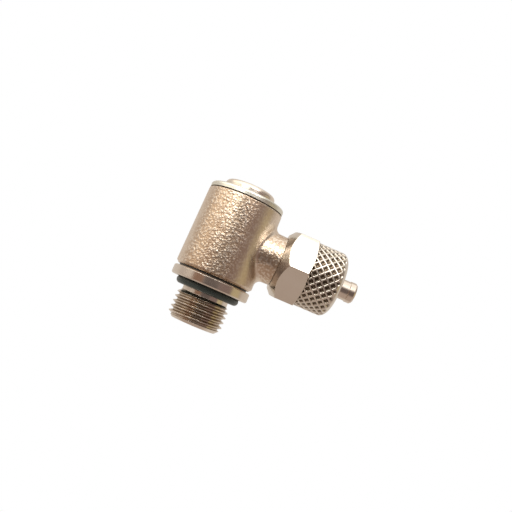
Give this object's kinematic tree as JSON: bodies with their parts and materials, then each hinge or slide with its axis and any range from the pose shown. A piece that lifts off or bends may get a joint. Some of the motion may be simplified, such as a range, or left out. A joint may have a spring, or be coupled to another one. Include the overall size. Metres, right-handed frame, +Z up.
{
  "type": "swivelling pneumatic flow control valve",
  "caption": "Banjo-type pneumatic flow control valve: threaded port stem with needle and check seal, swivelling body, side tube spigot with knurled clamp nut.",
  "frame": {"origin": "on the port thread's axis, at the seating face under the stem's flange", "axes": "+Z up the stem to its retaining cap, +X out along the tube spigot, +Y completes a right-handed frame"},
  "size_m": [0.0312, 0.0142, 0.0262],
  "materials": {
    "stem_nickel": "turned and nickel plated, bright",
    "nut_nickel": "turned, knurled and nickel plated, bright",
    "washer_nickel": "fine turned, satin silver",
    "blasted_nickel": "shot-blasted casting under bright nickel, pebbled",
    "plain_brass": "turned, plain",
    "black_rubber": "moulded, matt black",
    "slip_plastic": "smooth low-friction plastic"
  },
  "bodies": {
    "stem": {"stem": "stem_nickel", "seat_ring": "plain_brass", "needle_guide": "plain_brass", "guide_gasket": "slip_plastic", "check_lip_seal": "black_rubber", "lower_swivel_o_ring": "black_rubber", "upper_swivel_o_ring": "black_rubber", "port_o_ring": "black_rubber", "lower_slip_ring": "slip_plastic", "upper_slip_ring": "slip_plastic", "top_washer": "washer_nickel", "retaining_cap": "stem_nickel"},
    "swivel_body": {"banjo_body": "blasted_nickel", "tube_spigot": "stem_nickel", "spigot_o_ring": "black_rubber"},
    "clamp_nut": {"clamp_nut": "nut_nickel"},
    "needle_seal": {"needle_o_ring": "black_rubber"},
    "needle": {"needle": "plain_brass"}
  },
  "joints": [
    {"name": "body_swivel", "type": "hinge", "parent": "stem", "child": "swivel_body", "pos_m": [0, 0, 0.0091], "axis": [0, 0, 1], "continuous": true},
    {"name": "clamp_nut_travel", "type": "slide", "parent": "swivel_body", "child": "clamp_nut", "axis": [1, 0, 0], "range_m": [0, 0.016]},
    {"name": "needle_travel", "type": "slide", "parent": "stem", "child": "needle_seal", "axis": [0, 0, 1], "range_m": [-0.001, 0.001]},
    {"name": "needle_turn", "type": "hinge", "parent": "needle_seal", "child": "needle", "pos_m": [0, 0, 0.014], "axis": [0, 0, 1], "range_deg": [-720, 720]}
  ],
  "couplings": [
    {"joint": "needle_turn", "follows": "needle_travel", "rad_per_m": 12566}
  ]
}
